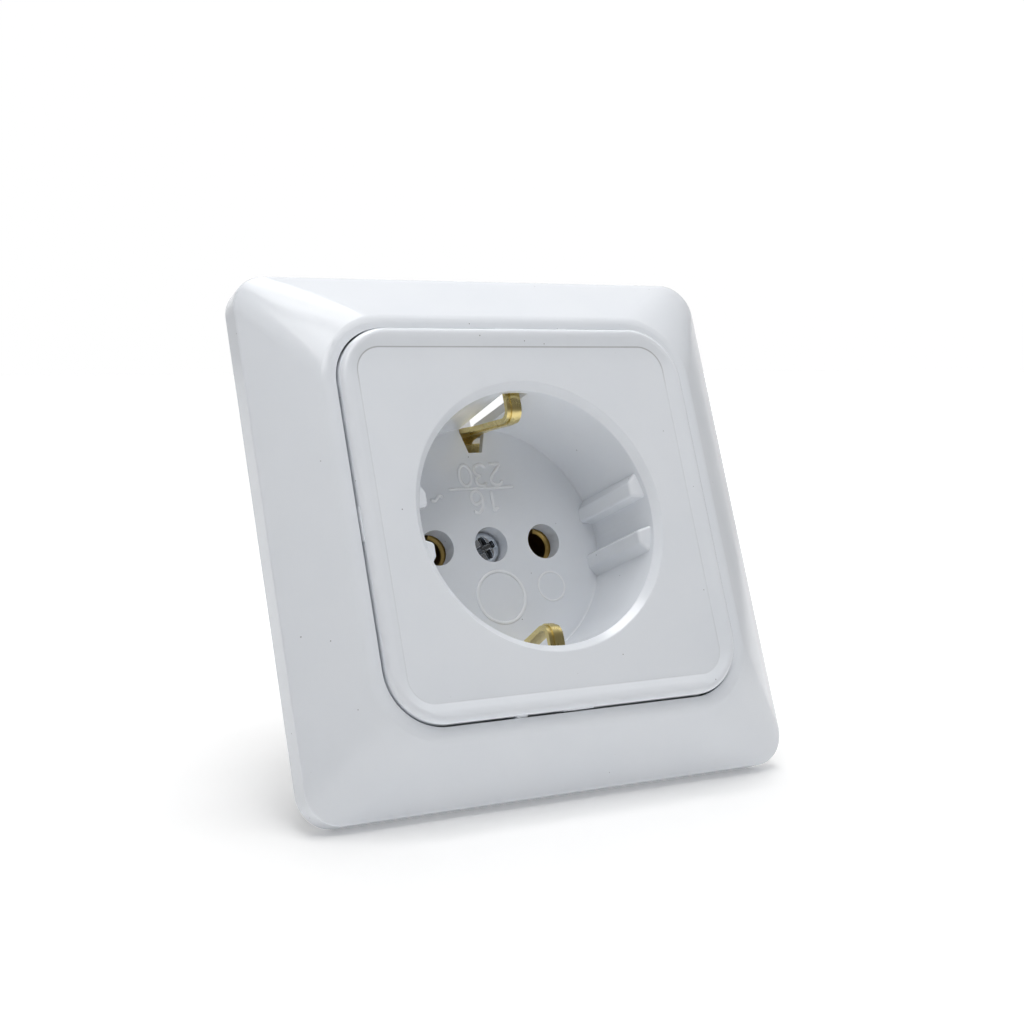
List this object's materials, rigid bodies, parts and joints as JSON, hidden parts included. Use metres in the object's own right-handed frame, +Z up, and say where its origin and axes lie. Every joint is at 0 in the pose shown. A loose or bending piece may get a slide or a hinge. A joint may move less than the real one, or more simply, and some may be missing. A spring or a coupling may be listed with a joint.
{
  "type": "flush wall socket",
  "caption": "Square flush-mounted power socket: sloped frame, beaded centre plate with a round plug well, sprung earth clips, contacts and screw terminals on a plate for a wall box.",
  "frame": {"origin": "centre of the socket on the wall plane, where the support plate's rear face and the frame's rear rim lie", "axes": "X to the right and Z up along the wall as the picture shows it, the front faces -Y and the box behind the wall is on the +Y side"},
  "size_m": [0.081, 0.0506, 0.081],
  "materials": {
    "frame_plastic": "smooth glossy white thermoplastic",
    "plate_plastic": "smooth glossy white thermoplastic with a few dust specks",
    "base_plastic": "matt white moulded plastic",
    "cover_plastic": "matt light grey moulded plastic",
    "clip_brass": "bright drawn brass, darker in the bends",
    "contact_brass": "drawn brass",
    "spring_steel": "plain spring steel",
    "zinc_steel": "zinc plated steel",
    "screw_steel": "zinc plated steel, dull in the recess"
  },
  "bodies": {
    "root": {"outer_frame": "frame_plastic", "centre_plate": "plate_plastic", "centre_screw": "screw_steel", "earth_strap": "clip_brass", "screw_bush": "contact_brass", "contact_left": "contact_brass", "contact_right": "contact_brass", "contact_spring_left": "spring_steel", "contact_spring_right": "spring_steel", "base_block": "base_plastic", "back_cover": "cover_plastic", "cover_screws": "zinc_steel", "support_plate": "zinc_steel", "plate_rivets": "zinc_steel", "strap_rivets": "contact_brass", "terminal_nut_left": "contact_brass", "terminal_clamp_left": "zinc_steel", "terminal_screw_left": "zinc_steel", "terminal_nut_right": "contact_brass", "terminal_clamp_right": "zinc_steel", "terminal_screw_right": "zinc_steel", "terminal_nut_earth": "contact_brass", "terminal_clamp_earth": "zinc_steel", "terminal_screw_earth": "zinc_steel"}
  },
  "joints": []
}
